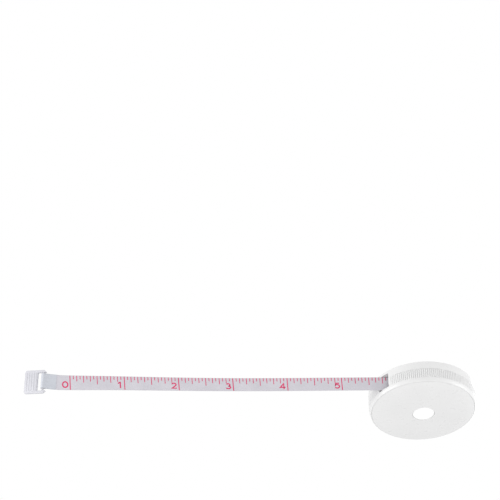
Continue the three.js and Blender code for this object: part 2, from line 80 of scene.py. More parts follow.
# Rear cover and button
rear_radius, land_radius, rear_rise = 23.75, 12.0, 1.8
rear_shown, rear_edge = 23.96, 0.14
rear_wall, rear_rim_top, ledge_radius = 1.0, 3.1, 22.2
hole_radius, hole_edge = 5.14, 0.2
button_radius, button_edge, button_rings = 5.1, 0.4, (0, 2.5, 4.6)
button_recess, button_back = 0.1, 1.0
button_flange, button_flange_foot, button_flange_top, button_well = 6.0, 1.25, 1.75, 3.2

# Tape
tape_width, tape_thickness = 7.2, 0.28
tape_line, tape_height = 13.75, 7.65
run_start, run_end, fold_end = 16.744, 172.395, 172.645
tape_bow, tape_drift = 1.05, 1.5
tape_twist, twist_power = math.radians(18), 5
tape_lean, lean_power = math.radians(7), 60
tape_travel, strip_gap = 151.0, 0.01
hub_radius, coil_radius = 7.65, 13.31
wound_thickness, winding_inset, winding_steps = 0.24, 0.13, 72

# Print on the tape
zero_line, inch, marks_per_inch = 166.2, 25.4, 16
mark_lengths, inch_mark_width, mark_width = (6.9, 4.15, 3.35, 2.8, 1.75), 0.42, 0.34
mark_margin = 0.15
figure_line, figure_height, figure_ahead = 0.6, -0.95, 2.3
print_top, print_foot = 0.02, -0.03

# End tab, measured from its bar
tab_bar = 178.7
tab_lip, tab_slot_reach, tab_reach = 1.5, 2.55, 9.2
tab_half, tab_slot_half = 5.6, 4.3
tab_shift, tab_turn = 0.4, math.radians(28)
tab_thickness, tab_edge, tab_chamfer = 1.2, 0.3, 1.04
tip_round, slot_round, shoulder_round, corner_round = 0.12, 0.45, 0.9, 1.1
tip_taper, tip_edge_share = 0.9, 0.3
ridge_count, ridge_radius, ridge_rise, ridge_inset = 5, 0.5, 0.13, 1.1
ridge_first, ridge_last = 0.8, 1.1
bar_radius, bar_inset = 0.55, 0.75
fold_gap, fold_tail, fold_taper, fold_seam = 0.15, 6.1, 2.4, 0.005
fold_meet = math.radians(120)

# Springs
spring_radius, spring_wire, spring_turns, spring_flat = 1.6, 0.15, 3.5, 0.4
spring_foot, spring_top, button_travel = 1.15, 3.75, 0.7
leaf_from, leaf_seat, leaf_half, leaf_thickness = 13.55, 18.55, 0.8, 0.15
leaf_heights, leaf_rest, leaf_roundness = (1.525, 1.435, 1.775), 1.031, 0.4

# Ornament: a petal's start, end and half width, and a ring's inner and outer radius
petal_count = 8
broad_petal, narrow_petal = (2.3, 7.2, 1.25), (3.6, 6.6, 0.45)
dot_reach, dot_radius = 8.3, 0.32
inner_ring, outer_ring = (1.25, 1.8), (9.3, 9.9)
ink_top, ink_foot = 0.025, -0.04


# Camera

def aim(back, right):
    """Turned axes for something that looks against the back direction."""
    back = Vector(back).normalized()
    up = back.cross(Vector(right)).normalized()
    return Matrix((up.cross(back), up, back)).transposed()


def make_camera():
    """A long lens far off, looking up at the button side at the photograph's angle. The case lies
    to the right of the view's centre and below it."""
    turned_axes = aim(back=(-0.1335, -0.817, -0.5615), right=(0.991, -0.107, -0.0754))
    right, up, back = turned_axes.col
    distance, view_width = 8.0, 232.0 * MM
    case_middle, case_right, case_below = 5.25 * MM, 80.1 * MM, 71.74 * MM
    centre = Vector((0, 0, case_middle)) - right * case_right + up * case_below
    data = bpy.data.cameras.new("camera")
    data.sensor_width = 36.0
    data.lens = data.sensor_width * distance / view_width
    made = bpy.data.objects.new("camera", data)
    made.matrix_world = Matrix.LocRotScale(centre + back * distance, turned_axes.to_quaternion(), None)
    bpy.context.collection.objects.link(made)
    bpy.context.scene.camera = made


make_camera()


# Skins

def skin(grid, closed=False, uv=None):
    """A closed skin over rows of points: every row closes on itself, four neighbours make a face,
    and the rows either close on themselves too or end in a flat cap."""
    rows, cols = grid.shape[:2]
    index = np.arange(rows * cols).reshape(rows, cols)
    index = np.concatenate([index, index[:, :1]], axis=1)
    if closed:
        index = np.concatenate([index, index[:1]])
    quads = np.stack([index[:-1, :-1], index[:-1, 1:], index[1:, 1:], index[1:, :-1]], axis=-1)
    ends = [] if closed else [np.arange(cols)[::-1], np.arange(cols) + (rows - 1) * cols]
    return grid.reshape(-1, 3), quads.reshape(-1, 4), ends, uv


def arc(radius, height, bend, start, end, steps=6):
    """A round corner in a section: its middle plus the bend at evenly spaced angles in degrees."""
    turn = np.radians(np.linspace(start, end, steps + 1))
    return np.stack([radius + bend * np.cos(turn), height + bend * np.sin(turn)], axis=1)


def section(*parts):
    """A closed section from single points and runs of points."""
    return np.concatenate([np.atleast_2d(np.asarray(part, float)) for part in parts])


def drawn_in(turn, start, end, edge):
    """How far an outside lies in at each turn near the two ends of a part turn, so that its edge
    there is a quarter circle of the given size."""
    away = np.minimum(turn - math.radians(start), math.radians(end) - turn) * case_radius
    return edge - np.sqrt(edge ** 2 - np.clip(edge - away, 0, edge) ** 2)


def part_turn(start, end, steps, edge):
    """Turns from start to end in radians, with close ones near both ends for the soft edge."""
    close = edge * (1 - np.cos(np.radians(np.linspace(0, 90, 6)))) / case_radius
    start, end = math.radians(start), math.radians(end)
    return np.concatenate([start + close, np.linspace(start, end, steps)[1:-1], (end - close)[::-1]])


def turned(profile, start=0.0, end=360.0, steps=256, edge=0.0):
    """A section of (radius, height) points carried round Z: at each turn a point lies at its radius
    times the turn's cosine and sine. A whole turn closes on itself. A part turn is capped, and
    the outer half of its section may be drawn in at both ends for a soft edge."""
    whole = end - start >= 360
    radius, height = profile[None, :, 0], profile[None, :, 1]
    if whole:
        turn = np.radians(np.linspace(start, end, steps, endpoint=False))[:, None]
    else:
        turn = part_turn(start, end, steps, edge)[:, None]
        outer = radius > (radius.min() + radius.max()) / 2
        radius = radius - outer * drawn_in(turn, start, end, edge)
    grid = np.stack([radius * np.cos(turn), radius * np.sin(turn), height + 0 * turn], axis=-1)
    return skin(grid, closed=whole)


def piece(name, skins, material, body, stands_for=(), crease=40):
    """One named piece from closed skins in millimetres: doubled points are merged, the faces are
    turned outwards, and an edge sharper than the crease angle stays crisp."""
    first = np.cumsum([0] + [len(s[0]) for s in skins])
    points = np.concatenate([s[0] for s in skins]) * MM
    quads = np.concatenate([s[1] + k for s, k in zip(skins, first)])
    ends = [end + k for s, k in zip(skins, first) for end in s[2]]
    corners = np.concatenate([quads.ravel(), *ends])
    sizes = np.concatenate([np.full(len(quads), 4), [len(end) for end in ends]]).astype(int)
    mesh = bpy.data.meshes.new(name)
    mesh.vertices.add(len(points))
    mesh.vertices.foreach_set("co", points.ravel())
    mesh.loops.add(len(corners))
    mesh.loops.foreach_set("vertex_index", corners)
    mesh.polygons.add(len(sizes))
    mesh.polygons.foreach_set("loop_start", np.cumsum(sizes) - sizes)
    mesh.update(calc_edges=True)
    if skins[0][3] is not None:
        place = np.concatenate([s[3] for s in skins])
        mesh.uv_layers.new(name="UVMap").data.foreach_set("uv", place[corners].ravel())
    return placed(name, mesh, material, body, stands_for, crease)


def placed(name, mesh, material, body, stands_for, crease):
    """Merges a mesh's doubled points, turns its faces outwards and makes it a piece on its body."""
    work = bmesh.new()
    work.from_mesh(mesh)
    bmesh.ops.remove_doubles(work, verts=work.verts, dist=hair * MM / 4)
    bmesh.ops.delete(work, geom=[e for e in work.edges if not e.link_faces], context="EDGES")
    bmesh.ops.recalc_face_normals(work, faces=work.faces)
    work.to_mesh(mesh)
    work.free()
    mesh.shade_smooth()
    mesh.set_sharp_from_angle(angle=math.radians(crease))
    mesh.materials.clear()
    mesh.materials.append(material)
    made = bpy.data.objects.new(name, mesh)
    bpy.context.collection.objects.link(made)
    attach(made, body)
    if stands_for:
        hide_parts(*stands_for)
    return made


# Finishes

def finish(name, roughness, metallic=0.0, specular=0.5, coat=0.0, sheen=0.0):
    """A new material with its shader, and its own object coordinates."""
    made = bpy.data.materials.new(name)
    made.use_nodes = True
    tree = made.node_tree
    shader = tree.nodes["Principled BSDF"]
    shader.inputs["Roughness"].default_value = roughness
    shader.inputs["Metallic"].default_value = metallic
    shader.inputs["Specular IOR Level"].default_value = specular
    shader.inputs["Coat Weight"].default_value = coat
    shader.inputs["Coat Roughness"].default_value = 0.12
    shader.inputs["Sheen Weight"].default_value = sheen
    place = tree.nodes.new("ShaderNodeTexCoord")
    return made, tree, shader, place


def node(tree, kind, inputs=(), **settings):
    """A node with its settings, each input either joined to another node's socket or set."""
    made = tree.nodes.new(kind)
    for key, value in settings.items():
        setattr(made, key, value)
    for key, value in dict(inputs).items():
        if isinstance(value, bpy.types.NodeSocket):
            tree.links.new(value, made.inputs[key])
        else:
            made.inputs[key].default_value = value
    return made


def noise(tree, place, scale, detail=4.0, stretch=(1, 1, 1)):
    """A cloudy pattern of the given count per metre, and finer along each axis by its stretch."""
    mapped = node(tree, "ShaderNodeMapping", {"Vector": place, "Scale": stretch})
    made = node(tree, "ShaderNodeTexNoise",
                {"Vector": mapped.outputs["Vector"], "Scale": scale, "Detail": detail})
    return made.outputs["Fac"]


def shades(tree, share, *stops):
    """Colours between stops of (share, grey or red-green-blue)."""
    made = node(tree, "ShaderNodeValToRGB", {"Fac": share})
    ramp = made.color_ramp
    while len(ramp.elements) < len(stops):
        ramp.elements.new(0.5)
    for element, (place, colour) in zip(ramp.elements, stops):
        element.position = place
        element.color = (*(colour if isinstance(colour, tuple) else (colour,) * 3), 1)
    return made.outputs["Color"]


def ranged(tree, value, low, high, start=0.3, end=0.7):
    """A value carried from one range to another."""
    made = node(tree, "ShaderNodeMapRange", {
        "Value": value, "From Min": start, "From Max": end, "To Min": low, "To Max": high})
    return made.outputs["Result"]


def darkened(tree, tone, share):
    """A colour multiplied by a share."""
    made = node(tree, "ShaderNodeMix", {0: 1.0, 6: tone, 7: share},
                data_type="RGBA", blend_type="MULTIPLY")
    return made.outputs[2]


def maths(tree, operation, a, b=0.0):
    """One operation on two values."""
    made = node(tree, "ShaderNodeMath", {0: a, 1: b}, operation=operation)
    return made.outputs["Value"]


def bumped(tree, shader, *layers):
    """Small relief: each layer is a height pattern, its depth in millimetres and its strength."""
    normal = None
    for height, depth, strength in layers:
        inputs = {"Height": height, "Distance": depth * MM, "Strength": strength}
        if normal is not None:
            inputs["Normal"] = normal
        normal = node(tree, "ShaderNodeBump", inputs).outputs["Normal"]
    tree.links.new(normal, shader.inputs["Normal"])


def moulded_plastic(name, light, dark, roughness, grooves=False, coat=0.25):
    """Moulded plastic: a faint cloudy tone from the mould's flow, a gloss that varies with
    handling, a soft orange-peel relief and, where asked for, painted shade in the grooves between ribs."""
    made, tree, shader, place = finish(name, roughness, coat=coat)
    here = place.outputs["Object"]
    flow = noise(tree, here, scale=55, detail=3, stretch=(1, 1, 2.5))
    tone = shades(tree, flow, (0.3, dark), (0.75, light))
    if grooves:
        flat = node(tree, "ShaderNodeVectorMath", {0: here, 1: (1, 1, 0)}, operation="MULTIPLY")
        reach = node(tree, "ShaderNodeVectorMath", {0: flat.outputs["Vector"]}, operation="LENGTH")
        depth = ranged(tree, reach.outputs["Value"], low=1, high=0,
                       start=band_root * MM, end=(case_radius - 0.1) * MM)
        height = node(tree, "ShaderNodeSeparateXYZ", {"Vector": here}).outputs["Z"]
        among_ribs = ranged(tree, height, low=0, high=1,
                            start=(rib_foot - 0.1) * MM, end=(rib_foot + 0.15) * MM)
        # Painted shade: the tone is made a little darker deep in the grooves between the ribs, where shade
        # falls.
        groove_shade = shades(tree, maths(tree, "MULTIPLY", depth, among_ribs), (0.1, 1.0), (1.0, 0.98))
        tone = darkened(tree, tone, groove_shade)
    tree.links.new(tone, shader.inputs["Base Color"])
    wear = noise(tree, here, scale=260, detail=4)
    gloss = ranged(tree, wear, low=roughness * 0.8, high=roughness * 1.25)
    tree.links.new(gloss, shader.inputs["Roughness"])
    peel = noise(tree, here, scale=700, detail=2)
    grain = noise(tree, here, scale=2600, detail=2)
    bumped(tree, shader, (peel, 0.003, 0.1), (grain, 0.0015, 0.06))
    return made


def woven_tape(name, light, dark):
    """Coated woven tape: warp threads along it and weft threads across, each a sine of the strip's
    own length and width, whose product gives the weave, under a thin matt coating that is a
    little blue and thins towards the edges."""
    made, tree, shader, place = finish(name, 0.62, specular=0.35, sheen=0.12)
    split = node(tree, "ShaderNodeSeparateXYZ", {"Vector": place.outputs["UV"]})
    along, over = split.outputs["X"], split.outputs["Y"]
    warp_pitch, weft_pitch, edge_width = 0.30, 0.36, 0.35
    warp = maths(tree, "SINE", maths(tree, "MULTIPLY", over, 2 * math.pi / warp_pitch))
    weft = maths(tree, "SINE", maths(tree, "MULTIPLY", along, 2 * math.pi / weft_pitch))
    weave = maths(tree, "MULTIPLY", warp, weft)
    cloud = noise(tree, place.outputs["Object"], scale=160, detail=5)
    fibre = noise(tree, place.outputs["Object"], scale=2600, detail=4, stretch=(0.35, 1, 1))
    threads = maths(tree, "MULTIPLY", weave, 0.06)
    coating = maths(tree, "ADD", maths(tree, "MULTIPLY", cloud, 0.55), maths(tree, "MULTIPLY", fibre, 0.35))
    tone = shades(tree, maths(tree, "ADD", threads, coating), (0.25, dark), (0.7, light))
    edge = ranged(tree, maths(tree, "ABSOLUTE", over), low=0, high=1,
                  start=tape_width / 2 - edge_width, end=tape_width / 2)
    soft = shades(tree, edge, (0.0, 1.0), (1.0, 0.9))
    tree.links.new(darkened(tree, tone, soft), shader.inputs["Base Color"])
    tree.links.new(ranged(tree, cloud, low=0.54, high=0.7), shader.inputs["Roughness"])
    bumped(tree, shader, (weave, 0.015, 0.35), (fibre, 0.01, 0.25))
    return made


def printing_ink(name, light, dark, scale, roughness):
    """Printing ink: its tone mottled where the layer is thin, and a faint relief."""
    made, tree, shader, place = finish(name, roughness, specular=0.4)
    here = place.outputs["Object"]
    mottle = noise(tree, here, scale, detail=5)
    tree.links.new(shades(tree, mottle, (0.3, dark), (0.7, light)), shader.inputs["Base Color"])
    bumped(tree, shader, (noise(tree, here, scale * 3, detail=3), 0.005, 0.2))
    return made


def drawn_steel(name, dark, light):
    """Spring steel: bright metal with fine marks along its length."""
    made, tree, shader, place = finish(name, 0.3, metallic=1.0)
    marks = noise(tree, place.outputs["Object"], scale=700, detail=6, stretch=(1, 1, 9))
    tree.links.new(shades(tree, marks, (0.3, dark), (0.7, light)), shader.inputs["Base Color"])
    tree.links.new(ranged(tree, marks, low=0.22, high=0.42), shader.inputs["Roughness"])
    bumped(tree, shader, (marks, 0.004, 0.3))
    return made


def black_rubber(name):
    """Brake rubber: near black, matt, with a grainy relief."""
    made, tree, shader, place = finish(name, 0.85, specular=0.3)
    grain = noise(tree, place.outputs["Object"], scale=1800, detail=6)
    tree.links.new(shades(tree, grain, (0.3, 0.018), (0.7, 0.045)), shader.inputs["Base Color"])
    bumped(tree, shader, (grain, 0.03, 0.5))
    return made


case_white = moulded_plastic("case_white", 0.79, 0.76, roughness=0.3)
band_white = moulded_plastic("band_white", 0.795, 0.76, roughness=0.34, grooves=True)
# The button's white plastic is set brighter than the case's: its own white plus a painted highlight, so that
# its face shows blown out.
button_white_and_glare = moulded_plastic("button_white_and_glare", 0.99, 0.97, roughness=0.24)
tab_white = moulded_plastic("tab_white", (0.57, 0.57, 0.612), (0.54, 0.54, 0.578), roughness=0.36, coat=0.15)
spool_plastic = moulded_plastic("spool_plastic", 0.60, 0.55, roughness=0.5, coat=0.0)
tape_cloth = woven_tape("tape_cloth", (0.665, 0.645, 0.695), (0.56, 0.545, 0.59))
# The fold's cloth is the tape's own cloth made darker and bluer: painted shade for the fold.
fold_shaded_cloth = woven_tape("fold_shaded_cloth", (0.59, 0.61, 0.66), (0.51, 0.53, 0.58))
scale_ink = printing_ink("scale_ink", (0.73, 0.055, 0.17), (0.60, 0.03, 0.12), scale=2200, roughness=0.55)
ornament_ink = printing_ink("ornament_ink", (0.80, 0.62, 0.09), (0.72, 0.53, 0.06), scale=700, roughness=0.35)
spring_steel = drawn_steel("spring_steel", dark=0.42, light=0.60)
brake_rubber = black_rubber("brake_rubber")


# Case

def dome_height(radius):
    """Height of the domed cover: an arc that starts level at the axis and falls by the dome's
    rise at its edge."""
    bend = (dome_edge ** 2 + dome_rise ** 2) / (2 * dome_rise)
    return case_top - bend + np.sqrt(bend ** 2 - np.asarray(radius, float) ** 2)


def rear_height(radius):
    """Height of the rear cover's face: level out to the land's edge, then an arc that starts
    level there and rises to the rim."""
    reach = rear_radius - land_radius
    bend = (reach ** 2 + rear_rise ** 2) / (2 * rear_rise)
    return bend - np.sqrt(bend ** 2 - np.maximum(np.asarray(radius, float) - land_radius, 0) ** 2)


def front_cover():
    """The dome, its round shoulder and the top of its skirt are turned in one. The skirt's lower
    part and the spigot, which the tape's slot interrupts, are turned for the rest of the way
    round, and a flat roof over the tape for the slot's own turn."""
    out = np.linspace(0, dome_edge, 40)
    inward = np.linspace(dome_edge - shell_wall, 0, 24)
    upper = section(
        np.stack([out, dome_height(out)], axis=1),
        arc(dome_edge, shoulder_height, shoulder_radius, 90, 0, 10)[1:],
        (skirt_radius, slot_top + hair),
        (skirt_radius - shell_wall, slot_top + hair),
        np.stack([inward, dome_height(inward) - shell_wall], axis=1),
    )
    inner = spigot_radius - spigot_wall
    lower = section(
        (skirt_radius, slot_top),
        arc(skirt_radius - cover_edge, cover_foot + cover_edge, cover_edge, 0, -90, 4),
        (spigot_radius, cover_foot),
        (spigot_radius, cover_foot - spigot_depth),
        (inner, cover_foot - spigot_depth),
        (inner, cover_foot + shell_wall / 2),
        (skirt_radius - shell_wall, cover_foot + shell_wall),
        (skirt_radius - shell_wall, slot_top),
    )
    wall = skirt_radius - shell_wall + hair
    roof = section((roof_inner, roof_foot), (wall, roof_foot), (wall, roof_top), (roof_inner, roof_top))
    return [turned(upper), turned(lower, slot_to, slot_from + 360, 241, slot_edge),
            turned(roof, slot_from, slot_to, 16)]


def rib_wave(turn):
    """How far a rib stands out, from 0 in a groove to 1 on its crest. A groove is the fourth power
    of half of 1 less the cosine of the turn times the count of ribs, which leaves broad crests
    and narrow round grooves. The grooves run out into a smooth border beside the slot."""
    away = np.minimum(turn - math.radians(slot_to), math.radians(slot_from + 360) - turn) * case_radius
    border = np.clip((away - slot_border) / slot_blend, 0, 1)
    return 1 - border * (0.5 - 0.5 * np.cos(rib_count * turn)) ** rib_power


def case_band():
    """The band's foot is turned in one. Above the slot's foot its outside is a grid of turn and
    height: the rim's quarter ellipse, then the band's root plus the rib wave, which grows and
    fades along a quarter circle at the ribs' two ends."""
    rim = np.radians(np.linspace(0, 90, 19))
    rim_radius = band_lip + (band_rim_radius - band_lip) * np.sin(rim)
    rim_height = band_foot + (rib_foot - band_foot) * (1 - np.cos(rim))
    below = (rim_height < slot_foot - hair) & (rim_radius > band_lip + band_lip_edge)
    slot_radius = np.interp(slot_foot, rim_height, rim_radius)
    lip_height = np.interp(band_lip + band_lip_edge, rim_radius, rim_height)
    foot = section(
        arc(band_lip + band_lip_edge, lip_height + band_lip_edge, band_lip_edge, 180, 270, 5),
        np.stack([rim_radius[below], rim_height[below]], axis=1),
        (slot_radius, slot_foot - hair), (shelf_radius, slot_foot - hair),
        (shelf_radius, shelf_foot), (band_lip, shelf_foot))
    turn = part_turn(slot_to, slot_from + 360, int(rib_count * rib_steps), slot_edge)[:, None]
    grown = rib_end * (1 - np.cos(np.radians(np.linspace(0, 90, 6))))
    heights = np.concatenate([
        [slot_foot], rim_height[rim_height > slot_foot + hair], rib_foot + grown[1:],
        np.linspace(rib_foot + rib_end, rib_top - rib_end, 5)[1:-1], rib_top - grown[::-1], [band_top]])
    smooth = np.interp(heights, np.concatenate([rim_height, [rib_foot + rim_blend, band_top]]),
                       np.concatenate([rim_radius, [band_root, band_root]]))
    rise = np.clip(np.minimum(heights - rib_foot, rib_top - heights) / rib_end, 0, 1)
    rib = band_root + (case_radius - band_root) * np.sqrt(1 - (1 - rise) ** 2) * rib_wave(turn)
    radius = np.maximum(smooth[None], rib) - drawn_in(turn, slot_to, slot_from + 360, slot_edge)
    inner = np.array([[band_bore, band_top], [band_bore, shelf_top], [shelf_radius, shelf_top],
                      [shelf_radius, slot_foot]])
    radius = np.concatenate([radius, np.repeat(inner[None, :, 0], len(turn), axis=0)], axis=1)
    height = np.repeat(np.concatenate([heights, inner[:, 1]])[None], len(turn), axis=0)
    return [turned(foot), skin(np.stack([radius * np.cos(turn), radius * np.sin(turn), height], axis=-1))]


def rear_cover():
    """The rear cover's section, turned: its face's arc with a quarter circle at the button's hole
    and a part of one at its rim, and the same arc set back by the wall's thickness."""
    out = np.linspace(land_radius, rear_shown - rear_edge, 28)
    back = np.linspace(ledge_radius, land_radius, 12)
    return [turned(section(
        arc(hole_radius + hole_edge, hole_edge, hole_edge, 180, 270, 6),
        np.stack([out, rear_height(out)], axis=1),
        arc(rear_shown - rear_edge, rear_height(rear_shown - rear_edge) + rear_edge, rear_edge, -75, 0, 6),
        (rear_shown, rear_rim_top), (ledge_radius, rear_rim_top),
        np.stack([back, rear_height(back) + rear_wall], axis=1),
        (hole_radius, rear_wall),
    ))]


def push_button():
    """The button: a level face, a round edge, a straight side and a flange that holds it in."""
    return [turned(section(
        [(ring, button_recess) for ring in button_rings],
        arc(button_radius - button_edge, button_recess + button_edge, button_edge, -90, 0, 8),
        (button_radius, button_flange_foot), (button_flange, button_flange_foot),
        (button_flange, button_flange_top), (button_well, button_flange_top),
        (button_well, button_back), (0, button_back),
    ), steps=128)]


# Tape

def tape_course(x):
    """The drawn tape's middle, the direction across it and its face at each X. With s the share
    of the way out, Y is the tape's line plus the bow times the squared sine of pi s, less the
    drift times s squared times (3 - 2 s), and the face turns by the twist times s to the fifth.
    The climb's slope is the lean's times s to the power 59, and beyond the run it is the lean's."""
    run = run_end - run_start
    s = np.clip((-x - run_start) / run, 0, 1)
    beyond = np.maximum(-x - run_end, 0)
    y = tape_bow * np.sin(np.pi * s) ** 2 - tape_drift * s ** 2 * (3 - 2 * s) - tape_line
    z = tape_height + math.tan(tape_lean) * (s ** lean_power * run / lean_power + beyond)
    lean = np.arctan(math.tan(tape_lean) * s ** (lean_power - 1))
    turn = (tape_twist * s ** twist_power)[..., None]
    upright = np.stack([np.sin(lean), 0 * lean, np.cos(lean)], axis=-1)
    aside = np.array([0.0, -1.0, 0.0])
    across = upright * np.cos(turn) + aside * np.sin(turn)
    face = aside * np.cos(turn) - upright * np.sin(turn)
    return np.stack([x, y, z], axis=-1), across, face


def ribbon(middle, across, face, width=tape_width, thickness=tape_thickness):
    """A strip with round edges carried along a line: each point is the middle plus its place
    across and its height above the middle, along those two directions."""
    half, bend = width / 2, thickness / 2
    flat = np.linspace(bend - half, half - bend, 9)
    edge = np.radians(np.linspace(90, -90, 7)[1:-1])
    over = np.concatenate([flat, half - bend + bend * np.cos(edge),
                           flat[::-1], bend - half - bend * np.cos(edge)])
    up = np.concatenate([flat * 0 + bend, bend * np.sin(edge), flat * 0 - bend, -bend * np.sin(edge)])
    grid = middle[:, None] + over[None, :, None] * across[:, None] + up[None, :, None] * face[:, None]
    step = np.linalg.norm(np.diff(middle, axis=0), axis=1)
    along = np.concatenate([[0], np.cumsum(step)])
    uv = np.stack(np.broadcast_arrays(along[:, None], over[None]), axis=-1).reshape(-1, 2)
    return skin(grid, uv=uv)


def on_tape(x, over, up):
    """Points at X, a place across the tape and a height above its printed face."""
    middle, across, face = tape_course(x)
    return middle + over[..., None] * across + (tape_thickness / 2 + up)[..., None] * face


def scale_marks():
    """A thin slab for each sixteenth of an inch, hung from the tape's upper edge and longer at
    each halving, with a line right across at each inch."""
    count = np.arange(int((zero_line - run_start) / inch * marks_per_inch))
    length = np.select([count % 16 == 0, count % 8 == 0, count % 4 == 0, count % 2 == 0],
                       mark_lengths[:4], mark_lengths[4])
    half = np.where(count % 16 == 0, inch_mark_width / 2, mark_width / 2)
    top = tape_width / 2 - mark_margin
    middle = inch * count / marks_per_inch - zero_line
    skins = []
    for x, side, reach in zip(middle, half, length):
        across = np.array([-side, side, side, -side])
        over = np.array([top, top, top - reach, top - reach])
        rows = [on_tape(x + across, over, np.full(4, up)) for up in (print_foot, print_top)]
        skins.append(skin(np.stack(rows)))
    return skins


def bowl(x, y, across, up, start, end):
    """Part of an ellipse, from one angle to another in degrees."""
    turn = np.radians(np.linspace(start, end, 22))
    return np.stack([x + across * np.cos(turn), y + up * np.sin(turn)], axis=1)


def ink_stroke(path, centre, closed=False):
    """A line of ink on the tape: each point of its path moves half the line's width to both sides,
    along the direction that halves the bend there, a little further the sharper it is."""
    step = np.diff(path, axis=0, append=path[:1] if closed else path[-1:] * 2 - path[-2:-1])
    side = np.stack([-step[:, 1], step[:, 0]], axis=1)
    side /= np.linalg.norm(side, axis=1, keepdims=True)
    before = np.roll(side, 1, axis=0) if closed else np.concatenate([side[:1], side[:-1]])
    middle = side + before
    middle /= np.linalg.norm(middle, axis=1, keepdims=True)
    sharpest = 0.45
    reach = figure_line / 2 / np.maximum((middle * side).sum(axis=1, keepdims=True), sharpest)
    edges = np.stack([path + middle * reach, path - middle * reach], axis=1)[:, [0, 1, 1, 0]]
    up = np.broadcast_to(np.repeat([print_top, print_foot], 2), edges.shape[:2])
    return skin(on_tape(centre + edges[..., 0], figure_height + edges[..., 1], up), closed=closed)


def scale_figures():
    """The figures 0 to 5, each just short of its inch line, as strokes along ellipses and lines
    whose points are given from the figure's own middle."""
    figures = [
        [bowl(0, 0, 1.18, 1.35, 0, 360)[:-1]],
        [section((0.3, -1.65), (0.3, 1.65)), section((0.2, 1.4), (-0.75, 0.75))],
        [section(bowl(0, 0.55, 0.95, 0.8, 168, -32), (-0.95, -1.35), (1.2, -1.35))],
        [bowl(-0.05, 0.68, 0.8, 0.67, 155, -90), bowl(-0.05, -0.65, 1.05, 0.7, 90, -155)],
        [section((0.5, -1.65), (0.5, 1.4), (-1.2, -0.7), (1.25, -0.7))],
        [section((1.0, 1.35), (-0.62, 1.35), (-0.85, 0.05), bowl(0.0, -0.38, 1.08, 0.97, 128, -150))],
    ]
    return [ink_stroke(path, inch * k - zero_line - figure_ahead, closed=k == 0)
            for k, strokes in enumerate(figures) for path in strokes]


def tape_winding():
    """The wound tape: a strip on a spiral whose radius grows evenly, in each turn by a little less
    than the tape's thickness."""
    turns = (coil_radius - hub_radius) / tape_thickness
    share = np.linspace(0, 1, int(turns * winding_steps))
    turn = -math.pi / 2 - (1 - share) * turns * 2 * math.pi
    radius = hub_radius + winding_inset + share * (coil_radius - hub_radius - 2 * winding_inset)
    none = np.zeros_like(share)
    outward = np.stack([np.cos(turn), np.sin(turn), none], axis=-1)
    middle = radius[:, None] * outward + np.array([0, 0, tape_height])
    across = np.broadcast_to([0.0, 0.0, 1.0], middle.shape)
    return ribbon(middle, across, outward, thickness=wound_thickness)


# The tape's end and its tab, drawn about the tab's bar

def at_bar(points):
    """Carries points from the tape end's own axes, X out along the tape and Y across it, to their
    place about the bar."""
    end, across, face = (v[0] for v in tape_course(np.array([-run_end])))
    along = np.array([-math.cos(tape_lean), 0, math.sin(tape_lean)])
    bar = end + along * (tab_bar - run_end) / math.cos(tape_lean)
    return bar + points @ np.stack([along, across, -face])


def at_tab(points):
    """Carries points from the tab's own axes, which are turned and shifted along the bar."""
    x, y, z = np.moveaxis(points, -1, 0)
    swing_x = x * math.cos(tab_turn) - z * math.sin(tab_turn)
    swing_z = x * math.sin(tab_turn) + z * math.cos(tab_turn)
    return at_bar(np.stack([swing_x, y - tab_shift, swing_z], axis=-1))


def tab_skin(grid):
    """A skin drawn in the tab's own axes."""
    return skin(at_tab(grid))


def tape_fold():
    """The tape's end: a strip that runs to the bar, round it and back onto itself. Its middle is
    straight, then a cubic that leaves level and meets the bar's circle on its tangent."""
    bend = bar_radius + fold_gap + tape_thickness / 2
    half = tape_thickness / 2 + fold_seam
    straight = np.stack([np.linspace(-fold_tail, -fold_taper, 16), np.full(16, half)], axis=1)
    t = np.linspace(0, 1, 12)[1:-1, None]
    start = np.array([-fold_taper, half])
    end = bend * np.array([math.cos(fold_meet), math.sin(fold_meet)])
    pull = (end[0] - start[0]) * np.array([[1, 0], [1, math.tan(fold_meet - math.pi / 2)]])
    cubic = ((2 * t ** 3 - 3 * t ** 2 + 1) * start + (t ** 3 - 2 * t ** 2 + t) * pull[0]
             + (3 * t ** 2 - 2 * t ** 3) * end + (t ** 3 - t ** 2) * pull[1])
    turn = np.linspace(fold_meet, -fold_meet, 28)[:, None]
    round_bar = bend * np.concatenate([np.cos(turn), np.sin(turn)], axis=1)
    upper = np.concatenate([straight, cubic])
    path = np.concatenate([upper, round_bar, upper[::-1] * [1, -1]])
    direction = np.gradient(path, axis=0)
    direction /= np.linalg.norm(direction, axis=1, keepdims=True)
    none = np.zeros(len(path))
    middle = at_bar(np.stack([path[:, 0], none, path[:, 1]], axis=-1))
    basis = at_bar(np.eye(3)) - at_bar(np.zeros((3, 3)))
    across = np.broadcast_to(basis[1], middle.shape)
    face = -direction[:, 1:] * basis[0] + direction[:, :1] * basis[2]
    return ribbon(middle, across, face)


def rounded(corners, steps=7):
    """A closed outline whose corners (x, y, radius) are rounded: each corner becomes the arc that
    touches both its sides."""
    places = np.array([c[:2] for c in corners], float)
    runs = []
    for i, (x, y, bend) in enumerate(corners):
        here = places[i]
        back = places[i - 1] - here
        on = places[(i + 1) % len(places)] - here
        back, on = back / np.linalg.norm(back), on / np.linalg.norm(on)
        half = math.acos(float(np.clip(back @ on, -1, 1))) / 2
        centre = here + (back + on) / np.linalg.norm(back + on) * bend / math.sin(half)
        start, end = here + back * bend / math.tan(half), here + on * bend / math.tan(half)
        a, b = np.arctan2(*(start - centre)[::-1]), np.arctan2(*(end - centre)[::-1])
        b = a + (b - a + math.pi) % (2 * math.pi) - math.pi
        turn = np.linspace(a, b, steps)
        runs.append(centre + bend * np.stack([np.cos(turn), np.sin(turn)], axis=1))
    return np.concatenate(runs)


